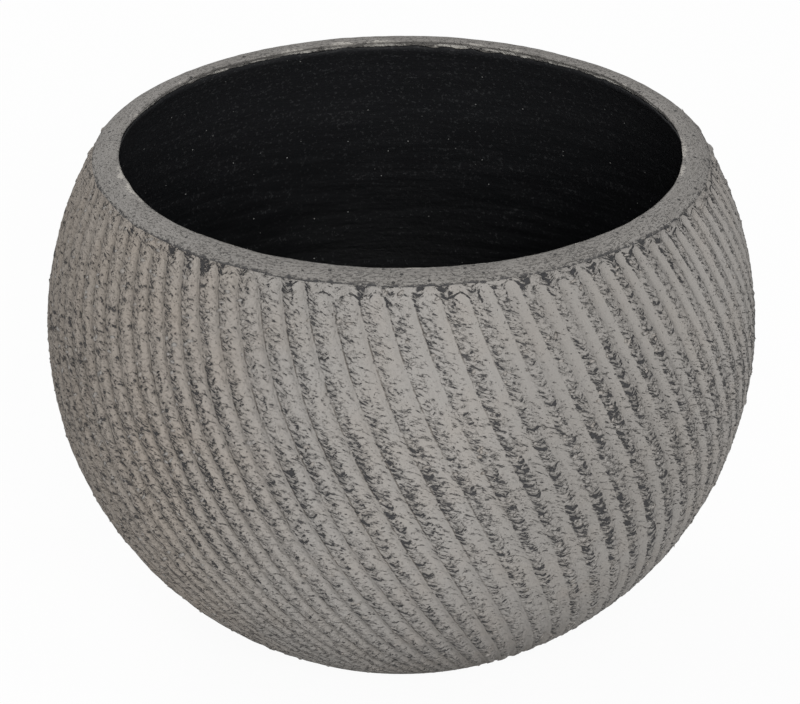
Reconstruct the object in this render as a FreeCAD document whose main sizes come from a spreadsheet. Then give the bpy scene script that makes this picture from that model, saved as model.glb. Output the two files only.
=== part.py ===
"""Round flower pot of fibre clay: a belly with slanting ribs, a smooth rim band, a black lining and a drain plug.

The wall is laid up by hand in a mould, from the outside in: the ribbed face coat, a glass-fibre mat, a clay backing
and a black sealing coat. A smooth band is trowelled over the top edge, and a rubber plug closes the drain hole.
All the coats are zones of spheres about the belly's centre, with flat floors one above the other.

Frame: millimetres, +Z up, origin on the ground under the middle of the base.
"""

import FreeCAD
import Part
import Sketcher

import math
import os

# Driving dimensions: alias, value, meaning. Lengths are in millimetres and angles in degrees.
DIMENSIONS = (
    ("belly_radius", 200.0, "outside radius of the round belly, over the rib crests"),
    ("mouth_overhang", 26.0, "how far the belly stands out past the top edge of the ribs"),
    ("foot_inset", 113.0, "how far the flat base lies inside the belly, all round"),
    ("band_height", 4.3, "height of the smooth rim band, from the ribs' top edge to the rim"),
    ("band_crown", 2.0, "rise of the rounded rim above a straight line from edge to edge"),
    ("rib_count", 80.0, "ribs round the pot"),
    ("rib_depth", 2.2, "depth of the flutes between the ribs"),
    ("ridge_share", 0.42, "share of the rib spacing that the ridge takes, the flute taking the rest"),
    ("ridge_edge_share", 0.35, "share of the rib depth by which a ridge has fallen at its edges"),
    ("belly_lean", 25.6, "slant of the ribs off the upright, from the base to the belly"),
    ("rim_lean", 14.0, "slant of the ribs off the upright, where they meet the rim band"),
    ("first_rib", 0.78, "angle of the first rib round the pot, where it crosses the belly"),
    ("rib_stray", 2.23, "angle by which the ribs, set out by eye, stray from even spacing"),
    ("stray_start", 32.0, "angle at which the straying begins"),
    ("web_thickness", 3.3, "face coat left under the flutes"),
    ("mat_thickness", 1.0, "glass-fibre mat"),
    ("backing_thickness", 4.5, "clay backing coat"),
    ("lining_gap", 0.1, "clearance between the backing and the sealing coat on it"),
    ("lining_thickness", 1.2, "black sealing coat"),
    ("lining_edge_drop", 3.6, "how far the lining's top edge lies below the rim"),
    ("foot_width", 25.0, "width of the ring that the pot stands on"),
    ("foot_recess", 2.0, "hollow under the base inside that ring"),
    ("drain_radius", 12.0, "radius of the drain hole"),
    ("plug_gap", 0.3, "clearance round the plug in the drain hole"),
    ("plug_taper", 0.8, "by how much the plug's stem narrows towards its nose"),
    ("plug_nose_gap", 1.0, "how far the plug's nose stays above the hollow under the base"),
    ("flange_width", 6.0, "how far the plug's flange reaches past the drain hole"),
    ("flange_thickness", 3.0, "thickness of the plug's flange"),
    ("flange_round", 1.0, "rounding of the flange's top edge"),
    ("grip_width", 18.0, "width of the plug's upright grip"),
    ("grip_height", 11.0, "height of the grip above the flange"),
    ("grip_thickness", 5.0, "thickness of the grip"),
    ("grip_round", 2.0, "rounding of the grip's corners"),
    ("cut_overrun", 5.0, "how far cutting tools run past what they cut"),
)
SECTION_COUNT = 13  # levels, from the base to the rim band, that each rib's curve passes through
STRAY_WAVES = 3  # times that the ribs stray to and fro, once round the pot
CLOSENESS = 1e-4  # two heights this near, in millimetres, count as the same

doc = FreeCAD.newDocument("flower_pot")


# The sheet of dimensions

def make_sheet():
    """One row per dimension: its name, its value under that alias, and what it means."""
    sheet = doc.addObject("Spreadsheet::Sheet", "dims")
    for row, (alias, value, meaning) in enumerate(DIMENSIONS, start=1):
        sheet.set(f"A{row}", alias)
        sheet.set(f"B{row}", str(value))
        sheet.set(f"C{row}", meaning)
        sheet.setAlias(f"B{row}", alias)
    doc.recompute()
    return sheet


sheet = make_sheet()

# Expressions that the sketches share, all in terms of the sheet's cells

BELLY = "dims.belly_radius"
MOUTH = "(dims.belly_radius - dims.mouth_overhang)"
BASE = "(dims.belly_radius - dims.foot_inset)"
CENTRE = f"sqrt({BELLY}^2 - {BASE}^2)"
JOINT = f"({CENTRE} + sqrt({BELLY}^2 - {MOUTH}^2))"
RIM = f"({JOINT} + dims.band_height)"
LINING_EDGE = f"({RIM} - dims.lining_edge_drop)"

# How far each coat's faces lie inside the rib crests; its floor lies as far above the ground.
FACE_DEPTH = "(dims.rib_depth + dims.web_thickness)"
MAT_DEPTH = f"({FACE_DEPTH} + dims.mat_thickness)"
BACKING_DEPTH = f"({MAT_DEPTH} + dims.backing_thickness)"
LINING_BED = f"({BACKING_DEPTH} + dims.lining_gap)"
LINING_DEPTH = f"({LINING_BED} + dims.lining_thickness)"


def ring(depth, height):
    """Radius, at a height, of the sphere that lies a depth inside the rib crests."""
    return f"sqrt(({BELLY} - {depth})^2 - ({height} - {CENTRE})^2)"


def value(expression):
    """An expression's value, as a plain number of millimetres or degrees."""
    return float(sheet.evalExpression(expression))


# Sketches and bodies

def origin_plane(body, role):
    return next(feature for feature in body.Origin.OriginFeatures if feature.Role == role)


def new_sketch(body, name, role="XZ_Plane"):
    """A sketch on one of the body's own origin planes."""
    sketch = body.newObject("Sketcher::SketchObject", name)
    sketch.AttachmentSupport = [(origin_plane(body, role), "")]
    sketch.MapMode = "FlatFace"
    return sketch


def bind(sketch, constraint, expression):
    """Adds a constraint whose size follows an expression."""
    index = sketch.addConstraint(constraint)
    sketch.setExpression(f"Constraints[{index}]", expression)


def arc_between(start, end, centre):
    """An arc from start to end about a centre, the short way round; also says whether it runs backwards."""
    first = math.atan2(start.y - centre.y, start.x - centre.x)
    last = math.atan2(end.y - centre.y, end.x - centre.x)
    backwards = math.sin(last - first) < 0
    if backwards:
        first, last = last, first
    circle = Part.Circle(centre, FreeCAD.Vector(0, 0, 1), (start - centre).Length)
    return Part.ArcOfCircle(circle, first, last), backwards


def draw_profile(sketch, corners, arcs):
    """A closed outline through corners, given as pairs of expressions.

    arcs maps a corner's index to the arc that leaves it: either "axis", for an arc about a centre on the pot's axis,
    or a pair of expressions, the arc's radius and the height of its centre.
    """
    points = [FreeCAD.Vector(value(x), value(y), 0) for x, y in corners]
    starts, ends = [], []
    for index, start in enumerate(points):
        end = points[(index + 1) % len(points)]
        backwards = False
        if index not in arcs:
            shape = Part.LineSegment(start, end)
        elif arcs[index] == "axis":
            shape, backwards = arc_between(start, end, FreeCAD.Vector(0, value(CENTRE), 0))
        else:
            radius, height = (value(expression) for expression in arcs[index])
            middle = (start + end) / 2
            rise = height - middle.y
            chord = end - start
            centre = middle + FreeCAD.Vector(-chord.y / chord.x * rise, rise, 0)
            shape, backwards = arc_between(start, end, centre)
        line = sketch.addGeometry(shape, False)
        starts.append((line, 2 if backwards else 1))
        ends.append((line, 1 if backwards else 2))
        if index in arcs and arcs[index] == "axis":
            sketch.addConstraint(Sketcher.Constraint("PointOnObject", line, 3, -2))
        elif index in arcs:
            bind(sketch, Sketcher.Constraint("Radius", line, radius), arcs[index][0])
    for index, (x, y) in enumerate(corners):
        sketch.addConstraint(Sketcher.Constraint("Coincident", *ends[index - 1], *starts[index]))
        bind(sketch, Sketcher.Constraint("DistanceX", -1, 1, *starts[index], points[index].x), x)
        bind(sketch, Sketcher.Constraint("DistanceY", -1, 1, *starts[index], points[index].y), y)


def turned_body(name, corners, arcs):
    """A body turned about the pot's axis from a closed outline of radius and height."""
    body = doc.addObject("PartDesign::Body", name)
    sketch = new_sketch(body, f"{name}_outline")
    draw_profile(sketch, corners, arcs)
    turn = body.newObject("PartDesign::Revolution", f"{name}_turn")
    turn.Profile = sketch
    turn.ReferenceAxis = (sketch, ["V_Axis"])
    turn.Angle = 360
    doc.recompute()
    return body


def coat(name, outer_depth, inner_depth, top):
    """One coat of the wall, with its flat floor and the drain hole through it."""
    corners = (
        ("dims.drain_radius", outer_depth),
        (ring(outer_depth, outer_depth), outer_depth),
        (ring(outer_depth, top), top),
        (ring(inner_depth, top), top),
        (ring(inner_depth, inner_depth), inner_depth),
        ("dims.drain_radius", inner_depth),
    )
    return turned_body(name, corners, {1: "axis", 3: "axis"})


# Ribbed shell: the face coat, with ribs that lean one way from the base to the rim band

def rib_turn(latitude, rim_latitude):
    """Angle that a rib has gone round the pot at a latitude, counted from the belly.

    Up to the belly the ribs cut every meridian at the same slant, and above it the slant eases towards the rim.
    """
    slant = math.tan(math.radians(value("dims.belly_lean")))
    turn = slant * math.asinh(math.tan(latitude))
    if latitude > 0:
        easing = (slant - math.tan(math.radians(value("dims.rim_lean")))) / math.sin(rim_latitude)
        turn += easing * math.log(math.cos(latitude))
    return turn


def rib_angle(rib, count):
    """Angle round the pot at which a rib crosses the belly; parts of a rib count too."""
    even = math.radians(value("dims.first_rib")) + 2 * math.pi * rib / count
    stray = math.radians(value("dims.rib_stray"))
    return even - stray * math.sin(STRAY_WAVES * even + math.radians(value("dims.stray_start")))


def rib_curve(depth, start, levels, turns):
    """A curve that runs up the pot with the ribs.

    depth is how far it lies inside the rib crests, and start the angle at which it crosses the belly.
    """
    centre, radius = value(CENTRE), value(BELLY)
    points = []
    for level, turn in zip(levels, turns):
        rise = radius * math.sin(level)
        distance = math.sqrt((radius - depth) ** 2 - rise ** 2)
        angle = start - turn
        points.append(FreeCAD.Vector(distance * math.cos(angle), distance * math.sin(angle), centre + rise))
    curve = Part.BSplineCurve()
    curve.interpolate(Points=points, Parameters=levels)
    return curve


def strip(left, middle, right):
    """A face between two rib curves; middle runs along the middle of the face."""
    columns = []
    for low, mid, high in zip(left.getPoles(), middle.getPoles(), right.getPoles()):
        columns.append((low, mid * 2 - (low + high) / 2, high))
    surface = Part.BSplineSurface()
    surface.buildFromPolesMultsKnots(
        [list(row) for row in zip(*columns)],
        [3, 3], left.getMultiplicities(), [0.0, 1.0], left.getKnots(), False, False, 2, left.Degree)
    return surface.toShape()


def cap(faces, height):
    """The flat face that closes the ribbed blank at a height."""
    edges = [edge for face in faces for edge in face.Edges
             if all(abs(vertex.Z - height) < CLOSENESS for vertex in edge.Vertexes)]
    return Part.Face(Part.Wire(Part.__sortEdges__(edges)))


def ribbed_blank():
    """Solid belly with its ribs, before it is hollowed."""
    radius = value(BELLY)
    lowest = -math.asin(value(CENTRE) / radius)
    highest = math.asin((value(JOINT) - value(CENTRE)) / radius)
    levels = [lowest + (highest - lowest) * step / (SECTION_COUNT - 1) for step in range(SECTION_COUNT)]
    turns = [rib_turn(level, levels[-1]) for level in levels]
    count = round(value("dims.rib_count"))
    half_ridge = value("dims.ridge_share") / 2
    depth = value("dims.rib_depth")
    edge_depth = depth * value("dims.ridge_edge_share")
    crests, lefts, rights, valleys = (
        [rib_curve(inside, rib_angle(rib + part, count), levels, turns) for rib in range(count)]
        for inside, part in ((0, 0), (edge_depth, -half_ridge), (edge_depth, half_ridge), (depth, 1 / 2)))
    faces = []
    for rib in range(count):
        faces.append(strip(lefts[rib], crests[rib], rights[rib]))
        faces.append(strip(rights[rib], valleys[rib], lefts[(rib + 1) % count]))
    ends = [cap(faces, 0), cap(faces, value(JOINT))]
    skin = Part.makeCompound(faces + ends)
    skin.sewShape()
    return Part.makeSolid(Part.Shell(skin.Faces))


def make_ribbed_shell():
    blank = doc.addObject("Part::Feature", "ribbed_blank")
    blank.Shape = ribbed_blank()
    over = f"({JOINT} + dims.cut_overrun)"
    recess = f"({BASE} - dims.foot_width)"
    hollow = turned_body("face_hollow", (
        ("0", "-dims.cut_overrun"),
        (recess, "-dims.cut_overrun"),
        (recess, "dims.foot_recess"),
        ("dims.drain_radius", "dims.foot_recess"),
        ("dims.drain_radius", FACE_DEPTH),
        (ring(FACE_DEPTH, FACE_DEPTH), FACE_DEPTH),
        (ring(FACE_DEPTH, JOINT), JOINT),
        (ring(FACE_DEPTH, JOINT), over),
        ("0", over),
    ), {5: "axis"})
    shell = doc.addObject("Part::Cut", "ribbed_shell")
    shell.Base = blank
    shell.Tool = hollow
    return shell


# Rim band: smooth ring over the top edges of the coats

def make_rim_band():
    inner = ring(BACKING_DEPTH, JOINT)
    crest = ring(BACKING_DEPTH, RIM)
    chord = f"sqrt(({MOUTH} - {crest})^2 + dims.band_height^2)"
    radius = f"({chord}^2 / (8 * dims.band_crown) + dims.band_crown / 2)"
    drop = f"(({radius} - dims.band_crown) * ({MOUTH} - {crest}) / {chord})"
    centre_height = f"(({JOINT} + {RIM}) / 2 - {drop})"
    corners = ((inner, JOINT), (MOUTH, JOINT), (crest, RIM))
    return turned_body("rim_band", corners, {1: (radius, centre_height), 2: "axis"})


# Drain plug: flange on the pot's floor, stem in the drain hole, upright grip to pull it by

def make_drain_plug():
    top = f"({LINING_DEPTH} + dims.flange_thickness)"
    nose = "(dims.foot_recess + dims.plug_nose_gap)"
    stem = "(dims.drain_radius - dims.plug_gap)"
    flange = "(dims.drain_radius + dims.flange_width)"
    plug = turned_body("drain_plug", (
        ("0", nose),
        (f"({stem} - dims.plug_taper)", nose),
        (stem, LINING_DEPTH),
        (flange, LINING_DEPTH),
        (flange, top),
        ("0", top),
    ), {})
    add_round(plug, "flange_edge", "dims.flange_round", flange_rim(plug, value(top)))
    sketch = new_sketch(plug, "grip_outline")
    half = "(dims.grip_width / 2)"
    grip_top = f"({top} + dims.grip_height)"
    low = f"({top} - dims.flange_thickness / 2)"
    draw_profile(sketch, ((f"-{half}", low), (half, low), (half, grip_top), (f"-{half}", grip_top)), {})
    grip = plug.newObject("PartDesign::Pad", "grip")
    grip.Profile = sketch
    grip.Midplane = True
    grip.setExpression("Length", "dims.grip_thickness")
    doc.recompute()
    add_round(plug, "grip_corners", "dims.grip_round", grip_corners(plug, value(grip_top)))
    return plug


def flange_rim(body, height):
    """The flange's outer top edge: the longest edge at that height."""
    edges = body.Shape.Edges
    level = [i for i, edge in enumerate(edges) if edge.BoundBox.ZMin > height - CLOSENESS]
    return [f"Edge{max(level, key=lambda i: edges[i].Length) + 1}"]


def grip_corners(body, height):
    """The two edges at the grip's top that run through its thickness."""
    return [f"Edge{i}" for i, edge in enumerate(body.Shape.Edges, start=1)
            if edge.BoundBox.ZMin > height - CLOSENESS and edge.BoundBox.XLength < CLOSENESS]


def add_round(body, name, size, edges):
    """Rounds edges of the body's latest feature."""
    base = body.Tip
    fillet = body.newObject("PartDesign::Fillet", name)
    fillet.Base = (base, edges)
    fillet.setExpression("Radius", size)
    doc.recompute()


def make_pot():
    """The sub-parts, in the order in which the pot is made."""
    return (
        make_ribbed_shell(),
        coat("glass_fibre_mat", FACE_DEPTH, MAT_DEPTH, JOINT),
        coat("backing_layer", MAT_DEPTH, BACKING_DEPTH, JOINT),
        make_rim_band(),
        coat("black_lining", LINING_BED, LINING_DEPTH, LINING_EDGE),
        make_drain_plug(),
    )


def check(sub_parts):
    """Stops before anything is written if an object failed or a shape isn't sound."""
    failed = [item.Label for item in doc.Objects if {"Invalid", "Error"} & set(item.State)]
    unsound = [part.Label for part in sub_parts if part.Shape.isNull() or not part.Shape.isValid()]
    if failed or unsound:
        raise RuntimeError(f"failed objects {failed}, unsound shapes {unsound}")


sub_parts = make_pot()
doc.recompute()
check(sub_parts)
os.makedirs("parts", exist_ok=True)
for part in sub_parts:
    part.Shape.exportStep(f"parts/{part.Label}.step")
    print(f"{part.Label}: {len(part.Shape.Faces)} faces")
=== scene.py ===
# %% [markdown]
# # A round ribbed flower pot
# The real pot is laid up by hand in fibre clay. Its belly is a ball cut flat at both ends, with eighty flutes
# scooped slantwise out of it, torn clay between the flutes, a trowelled rim and a black sealed inside.
# The CAD model is loaded first, because every piece below is fitted to it.

# %% Load the CAD model
import math
from types import SimpleNamespace

import bmesh
import bpy
import numpy as np
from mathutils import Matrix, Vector, noise


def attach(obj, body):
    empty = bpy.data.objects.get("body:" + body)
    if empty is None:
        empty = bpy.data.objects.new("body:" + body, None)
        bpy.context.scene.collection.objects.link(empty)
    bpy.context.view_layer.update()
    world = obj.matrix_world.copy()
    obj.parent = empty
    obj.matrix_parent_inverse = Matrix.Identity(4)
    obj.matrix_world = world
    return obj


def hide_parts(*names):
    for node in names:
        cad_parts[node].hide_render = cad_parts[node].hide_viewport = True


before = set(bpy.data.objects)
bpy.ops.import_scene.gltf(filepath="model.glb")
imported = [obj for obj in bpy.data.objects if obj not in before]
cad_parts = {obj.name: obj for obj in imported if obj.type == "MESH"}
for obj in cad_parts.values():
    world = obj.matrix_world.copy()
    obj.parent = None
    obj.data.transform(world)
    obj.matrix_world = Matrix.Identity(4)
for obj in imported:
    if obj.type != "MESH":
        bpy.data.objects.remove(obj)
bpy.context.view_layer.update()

# %% [markdown]
# ## Sizes
# All the coats of the wall are zones of balls about the belly's centre. So a point on any of them follows from a
# depth inside the rib crests and a height, and the few sizes here, in metres, place every piece.

# %% Sizes of the pot
BELLY_RADIUS = 0.200
FOOT_RADIUS = 0.087
MOUTH_RADIUS = 0.174
RIM_RISE = 0.0043
RIM_CROWN = 0.0020
FACE_DEPTH = 0.0055
BACKING_DEPTH = 0.0110
LINING_BED = 0.0111
LINING_DEPTH = 0.0123
LINING_EDGE_DROP = 0.0036
FOOT_WIDTH = 0.025
FOOT_RECESS = 0.002
DRAIN_RADIUS = 0.012
CENTRE_HEIGHT = math.sqrt(BELLY_RADIUS ** 2 - FOOT_RADIUS ** 2)
JOINT_HEIGHT = CENTRE_HEIGHT + math.sqrt(BELLY_RADIUS ** 2 - MOUTH_RADIUS ** 2)
RIM_HEIGHT = JOINT_HEIGHT + RIM_RISE


def coat_radius(depth, height):
    """Radius of a coat's face, at a height."""
    return math.sqrt((BELLY_RADIUS - depth) ** 2 - (height - CENTRE_HEIGHT) ** 2)


RIM_EDGE_RADIUS = coat_radius(BACKING_DEPTH, RIM_HEIGHT)
print("joint line at", round(JOINT_HEIGHT, 4), "rim at", round(RIM_HEIGHT, 4))

# %% [markdown]
# ## Sums as nodes
# Node trees get hard to read when each plus sign is a box with wires. A small class lets the script write sums as
# sums: adding two fields makes one Math node and hands back its output. It serves geometry and shader trees alike.

# %% Fields and their sums
class Field:
    """A value that varies over a surface, held by a node's output socket."""

    def __init__(self, tree, socket):
        self.tree = tree
        self.socket = socket

    def __add__(self, other):
        return calc("ADD", self, other)

    def __radd__(self, other):
        return calc("ADD", other, self)

    def __sub__(self, other):
        return calc("SUBTRACT", self, other)

    def __rsub__(self, other):
        return calc("SUBTRACT", other, self)

    def __mul__(self, other):
        return calc("MULTIPLY", self, other)

    def __rmul__(self, other):
        return calc("MULTIPLY", other, self)

    def __truediv__(self, other):
        return calc("DIVIDE", self, other)

    def __abs__(self):
        return calc("ABSOLUTE", self)


def feed(tree, socket, term):
    """Links a field to a socket, or sets the socket to a plain value."""
    if isinstance(term, Field):
        tree.links.new(term.socket, socket)
    else:
        socket.default_value = term


def add_node(tree, kind, inputs=(), **settings):
    """A node with its settings and its inputs, which are named or counted."""
    node = tree.nodes.new(kind)
    for name, setting in settings.items():
        setattr(node, name, setting)
    for name, term in dict(inputs).items():
        feed(tree, node.inputs[name], term)
    return node


def calc(operation, *terms):
    """One Math node; at least one of its terms is a field."""
    tree = next(term.tree for term in terms if isinstance(term, Field))
    node = add_node(tree, "ShaderNodeMath", dict(enumerate(terms)), operation=operation)
    return Field(tree, node.outputs[0])


print("each sum of two fields becomes one Math node")


# %% Shorthand for common fields
def smooth(value, low, high, start=0.0, end=1.0):
    """Goes from start to end as a value goes from low to high, easing at both ends."""
    node = add_node(value.tree, "ShaderNodeMapRange", {0: value, 1: low, 2: high, 3: start, 4: end},
                    interpolation_type="SMOOTHSTEP")
    return Field(value.tree, node.outputs[0])


def largest(*fields):
    """The largest of several fields."""
    top = fields[0]
    for field in fields[1:]:
        top = calc("MAXIMUM", top, field)
    return top


def join_xyz(tree, x, y, z):
    return Field(tree, add_node(tree, "ShaderNodeCombineXYZ", {0: x, 1: y, 2: z}).outputs[0])


def split_xyz(vector):
    node = add_node(vector.tree, "ShaderNodeSeparateXYZ", {0: vector})
    return [Field(vector.tree, socket) for socket in node.outputs]


def clouds(vector, scale, detail=2.0, roughness=0.5, distortion=0.0):
    """Soft noise, from 0 to 1, with its middle at a half."""
    node = add_node(vector.tree, "ShaderNodeTexNoise", {
        "Vector": vector, "Scale": scale, "Detail": detail, "Roughness": roughness, "Distortion": distortion})
    return Field(vector.tree, node.outputs[0])


print("fields", [helper.__name__ for helper in (smooth, largest, join_xyz, split_xyz, clouds)])

# %% [markdown]
# ## The camera
# The photograph was taken from well above the rim and from some way off, so the pot's sides hardly converge.
# A long lens far away gives that. The camera is aimed a little below the belly's middle, as the photograph is.

# %% Camera
IMAGE_WIDTH = 800
BELLY_PIXELS = 354
PIXELS_PER_METRE = BELLY_PIXELS / BELLY_RADIUS
CAMERA_DISTANCE = 11.0
SENSOR_WIDTH = 36.0
FARTHEST_SEEN = 100.0
ELEVATION = math.radians(24.3)
AIM_RIGHT = -1.3 / PIXELS_PER_METRE
AIM_UP = -32.0 / PIXELS_PER_METRE
camera = bpy.data.objects.new("camera", bpy.data.cameras.new("camera"))
bpy.context.collection.objects.link(camera)
camera.data.sensor_width = SENSOR_WIDTH
camera.data.lens = SENSOR_WIDTH * PIXELS_PER_METRE * CAMERA_DISTANCE / IMAGE_WIDTH
camera.data.clip_end = FARTHEST_SEEN
look = Vector((0, math.cos(ELEVATION), -math.sin(ELEVATION)))
upward = Vector((0, math.sin(ELEVATION), math.cos(ELEVATION)))
aim = Vector((AIM_RIGHT, 0, CENTRE_HEIGHT)) + AIM_UP * upward
camera.location = aim - look * CAMERA_DISTANCE
camera.rotation_euler = look.to_track_quat("-Z", "Y").to_euler()
bpy.context.scene.camera = camera
print("lens", round(camera.data.lens), "mm")

# %% [markdown]
# ## Clay that several finishes share
# Fibre clay is matt and slightly gritty, with pinholes where air bubbles broke. The ribs, the rim and the raw coats
# all show it. It could be built anew in each material, but one node group keeps the clay alike, and each finish
# sets its own scale.

# %% Clay grain
VECTOR, FLOAT = "NodeSocketVector", "NodeSocketFloat"
MOTTLE_SCALE = 0.035
PINHOLE_SCALE = 0.4
PINHOLE_DEPTH = 1.6


def group_ends(tree):
    """A group's inputs, as fields by name, and its output node."""
    given = tree.nodes.new("NodeGroupInput")
    made = tree.nodes.new("NodeGroupOutput")
    return {socket.name: Field(tree, socket) for socket in given.outputs if socket.name}, made


def shader_group(name, inputs, outputs):
    """An empty group with its named inputs, as fields, and its output node."""
    tree = bpy.data.node_groups.new(name, "ShaderNodeTree")
    for label, kind in inputs:
        tree.interface.new_socket(label, in_out="INPUT", socket_type=kind)
    for label in outputs:
        tree.interface.new_socket(label, in_out="OUTPUT", socket_type=FLOAT)
    return tree, *group_ends(tree)


def make_clay_grain():
    """Grit and pinholes: a height for the bump, a slow mottle for the colour, and a mask of the pinholes."""
    tree, given, made = shader_group(
        "clay_grain", (("Vector", VECTOR), ("Grit Scale", FLOAT), ("Pinholes", FLOAT)),
        ("Height", "Mottle", "Pinhole"))
    grit = clouds(given["Vector"], given["Grit Scale"], 4.0, 0.65)
    mottle = clouds(given["Vector"], given["Grit Scale"] * MOTTLE_SCALE, 3.0, 0.55)
    cells = add_node(tree, "ShaderNodeTexVoronoi", {
        "Vector": given["Vector"], "Scale": given["Grit Scale"] * PINHOLE_SCALE, "Randomness": 1.0})
    distance = Field(tree, cells.outputs["Distance"])
    chance = split_xyz(Field(tree, cells.outputs["Color"]))[0]
    kept = calc("LESS_THAN", chance, given["Pinholes"])
    pinhole = smooth(distance, 0.24, 0.12) * kept
    feed(tree, made.inputs["Height"], grit - pinhole * PINHOLE_DEPTH)
    feed(tree, made.inputs["Mottle"], mottle)
    feed(tree, made.inputs["Pinhole"], pinhole)
    return tree


clay_grain = make_clay_grain()
print("shader group", clay_grain.name, [item.name for item in clay_grain.interface.items_tree])

# %% [markdown]
# ## Dark wash
# The pot was brushed with a dark wash and wiped, which leaves the wash in torn places and pits. The group takes a
# pattern's coordinates and the share of the surface that stays covered. It adds noise of two sizes and cuts it off at
# a level, which gives crisp, ragged marks. A soft blend of two colours would look like smoke.

# %% Dark wash
FINE_SCALE = 2.2
FINE_SHARE = 0.44
LEVEL_SPREAD = 0.30
MARK_EDGE = 0.006


def make_dark_wash():
    """Where the dark wash stays: a mask, and a softer depth of the torn place under it."""
    tree, given, made = shader_group("dark_wash", (("Vector", VECTOR), ("Cover", FLOAT)), ("Mask", "Depth"))
    torn = clouds(given["Vector"], 1.0, 2.0, 0.5, 0.3)
    fine = clouds(given["Vector"], FINE_SCALE, 2.0, 0.6, 0.3)
    gap = torn * (1.0 - FINE_SHARE) + fine * FINE_SHARE
    level = 0.5 + (0.5 - given["Cover"]) * LEVEL_SPREAD
    marked = smooth(given["Cover"], 0.0, 0.05)
    feed(tree, made.inputs["Mask"], smooth(gap - level, -MARK_EDGE, MARK_EDGE) * marked)
    feed(tree, made.inputs["Depth"], smooth(gap - level, -0.08, 0.04) * marked)
    return tree


dark_wash = make_dark_wash()
print("shader group", dark_wash.name, [item.name for item in dark_wash.interface.items_tree])

# %% [markdown]
# ## Finishes
# Each finish starts from a Principled BSDF. Colours that vary go through Mix nodes, and constants are set on the
# shader itself, so that they survive an export. A painted image would do too, but nodes have no seams and can be
# changed by one number.

# %% Helpers for finishes
def new_finish(name, roughness, specular=0.3):
    material = bpy.data.materials.new(name)
    material.use_nodes = True
    shader = material.node_tree.nodes["Principled BSDF"]
    shader.inputs["Roughness"].default_value = roughness
    shader.inputs["Specular IOR Level"].default_value = specular
    return material, material.node_tree, shader


def use_group(tree, group, **inputs):
    """Places a group in a material, and gives back its outputs by name."""
    node = add_node(tree, "ShaderNodeGroup", node_tree=group)
    for name, term in inputs.items():
        feed(tree, node.inputs[name.replace("_", " ")], term)
    return {socket.name: Field(tree, socket) for socket in node.outputs}


def blend_colours(share, first, second):
    """Mixes two colours, each a field or three numbers."""
    node = add_node(share.tree, "ShaderNodeMix", data_type="RGBA")
    feed(share.tree, node.inputs[0], share)
    for socket, colour in ((node.inputs[6], first), (node.inputs[7], second)):
        feed(share.tree, socket, colour if isinstance(colour, Field) else (*colour, 1.0))
    return Field(share.tree, node.outputs[2])


def place_on(tree):
    """The piece's own coordinates, in metres."""
    return Field(tree, tree.nodes.new("ShaderNodeTexCoord").outputs["Object"])


def set_bump(shader, tree, height, distance):
    node = add_node(tree, "ShaderNodeBump", {"Height": height, "Distance": distance, "Strength": 1.0})
    tree.links.new(node.outputs[0], shader.inputs["Normal"])


print("helpers", [helper.__name__ for helper in (new_finish, use_group, blend_colours, place_on, set_bump)])

# %% Colours of the clay and the wash
PALE_CLAY = (0.308, 0.294, 0.278)
BROWN_CLAY = (0.326, 0.285, 0.245)
RIM_CLAY = (0.218, 0.206, 0.192)
RAW_CLAY = (0.40, 0.375, 0.335)
BARE_CLAY = (0.50, 0.475, 0.435)
# partly real white chips, partly painted light: this pale so that they show on the shaded inner face
CHIPS_PAINTED_BRIGHT = (0.80, 0.77, 0.71)
DARK_WASH = (0.042, 0.042, 0.044)
# painted shade: the brownish colour of a thin line down the shaded wall of each flute
EDGE_SHADE_BROWN = (0.105, 0.092, 0.078)
MATT = 0.92
print("pale clay", PALE_CLAY, "dark wash", DARK_WASH)

# %% [markdown]
# ### Ribbed clay: where a point lies
# The ribs' own UV map tells the finish where it is: u counts ribs, so its distance to the nearest whole number says
# how far a point is from a crest, and v is the distance below the rim band. The attribute "lip" comes from the shape:
# it is 1 at the edge of a flute and more on the crest. Plain coordinates couldn't follow the slanting ribs.

# %% Where a point lies on the ribs
RIB_MAP = "rib_map"
RIB_PITCH = 0.0157


def rib_place(tree):
    """Where a point is: on the piece, across its rib, below the rim band and right of the pot's axis."""
    place = place_on(tree)
    rib_map = add_node(tree, "ShaderNodeUVMap", uv_map=RIB_MAP)
    rib, below, _ = split_xyz(Field(tree, rib_map.outputs[0]))
    lip = Field(tree, add_node(tree, "ShaderNodeAttribute", attribute_name="lip").outputs["Fac"])
    spine = calc("FRACT", rib + 0.5) - 0.5
    return SimpleNamespace(
        place=place, rib=rib, below=below, lip=lip, spine=spine, off_spine=abs(spine), across=rib * RIB_PITCH,
        right=split_xyz(place)[0], lumps=clouds(place, 300.0, 3.0, 0.6))


print("rib map", RIB_MAP, "one rib every", RIB_PITCH, "m")

# %% [markdown]
# ### Ribbed clay: where the wash is thick
# On the real pot the wash is bold on the torn crests of the belly, fades towards the foot, and breaks into dots at the
# far left. Just under the rim it is darker in the gaps between the ends of the flutes and in a line round each end:
# partly wash, partly painted shade in these hollows under the rim band.
# Each of these is a zone with soft edges, given by distances in metres, and the zones add up to a cover.

# %% Zones of the wash
LEFT_EDGE, RIGHT_EDGE = (-0.11, -0.16), (0.13, 0.18)  # right of the axis: where a zone begins, and where it is full
TOOTHED_SIDE, BOLD_SIDE, WIDE_SIDE = (-0.05, -0.11), (0.05, 0.11), (-0.02, 0.06)
BOLD_BELLY, FAINT_FOOT = (0.03, 0.14), (0.14, 0.25)  # below the rim band, in the same way
GAP_HEIGHT, END_HEIGHT = (0.012, 0.003), (0.015, 0.010)
TORN_LIP, END_LIP = (0.90, 1.12), 1.04  # in half-widths of a flute


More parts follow.
